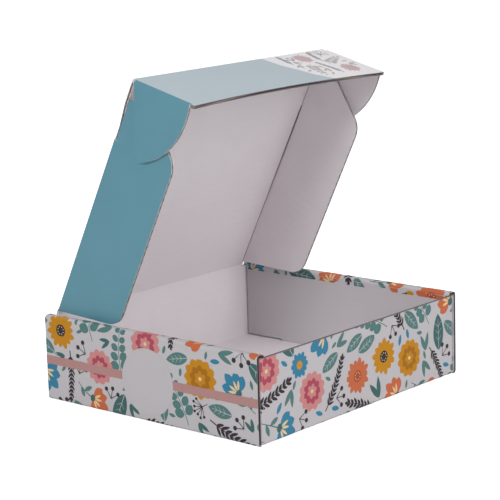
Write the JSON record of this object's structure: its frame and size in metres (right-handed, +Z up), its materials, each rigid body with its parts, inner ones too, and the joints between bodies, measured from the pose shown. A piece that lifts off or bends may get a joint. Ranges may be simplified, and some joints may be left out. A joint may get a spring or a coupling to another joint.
{
  "type": "corrugated mailer box",
  "caption": "Folded corrugated box with double rolled side walls and a tuck-in hinged lid standing open",
  "frame": {"origin": "centre of the tray's underside", "axes": "+X left to right along the front wall, +Y from the front wall to the hinge wall, +Z up"},
  "size_m": [0.23, 0.204, 0.2411],
  "materials": {
    "white_board": "matte print",
    "teal_board": "satin print",
    "pale_teal_board": "satin print"
  },
  "bodies": {
    "tray_body": {"tray": "white_board"},
    "lid_body": {"lid": "teal_board"},
    "tuck_flap_body": {"tuck_flap": "pale_teal_board"},
    "left_ear_body": {"left_ear": "teal_board"},
    "right_ear_body": {"right_ear": "white_board"},
    "left_side_flap_body": {"left_side_flap": "teal_board"},
    "right_side_flap_body": {"right_side_flap": "white_board"}
  },
  "joints": [
    {"name": "lid_hinge", "type": "hinge", "parent": "tray_body", "child": "lid_body", "pos_m": [0, 0.10075, 0.06225], "axis": [-1, 0, 0], "range_deg": [-63.6, 116]},
    {"name": "tuck_flap_hinge", "type": "hinge", "parent": "lid_body", "child": "tuck_flap_body", "pos_m": [0, 0.01258, 0.23987], "axis": [-1, 0, 0], "range_deg": [-27.67, 50.46]},
    {"name": "left_ear_hinge", "type": "hinge", "parent": "tuck_flap_body", "child": "left_ear_body", "pos_m": [-0.10565, 0.01258, 0.23987], "axis": [0, 0.9686, 0.2487], "range_deg": [0, 90]},
    {"name": "right_ear_hinge", "type": "hinge", "parent": "tuck_flap_body", "child": "right_ear_body", "pos_m": [0.10565, 0.01258, 0.23987], "axis": [0, -0.9686, -0.2487], "range_deg": [0, 90]},
    {"name": "left_side_flap_hinge", "type": "hinge", "parent": "lid_body", "child": "left_side_flap_body", "pos_m": [-0.1016, 0.09963, 0.06169], "axis": [0, 0.4446, -0.8957], "range_deg": [-80, 0]},
    {"name": "right_side_flap_hinge", "type": "hinge", "parent": "lid_body", "child": "right_side_flap_body", "pos_m": [0.1016, 0.09963, 0.06169], "axis": [0, -0.4446, 0.8957], "range_deg": [-80, 0]}
  ],
  "couplings": [
    {"joint": "tuck_flap_hinge", "follows": "lid_hinge", "ratio": 0.435}
  ]
}
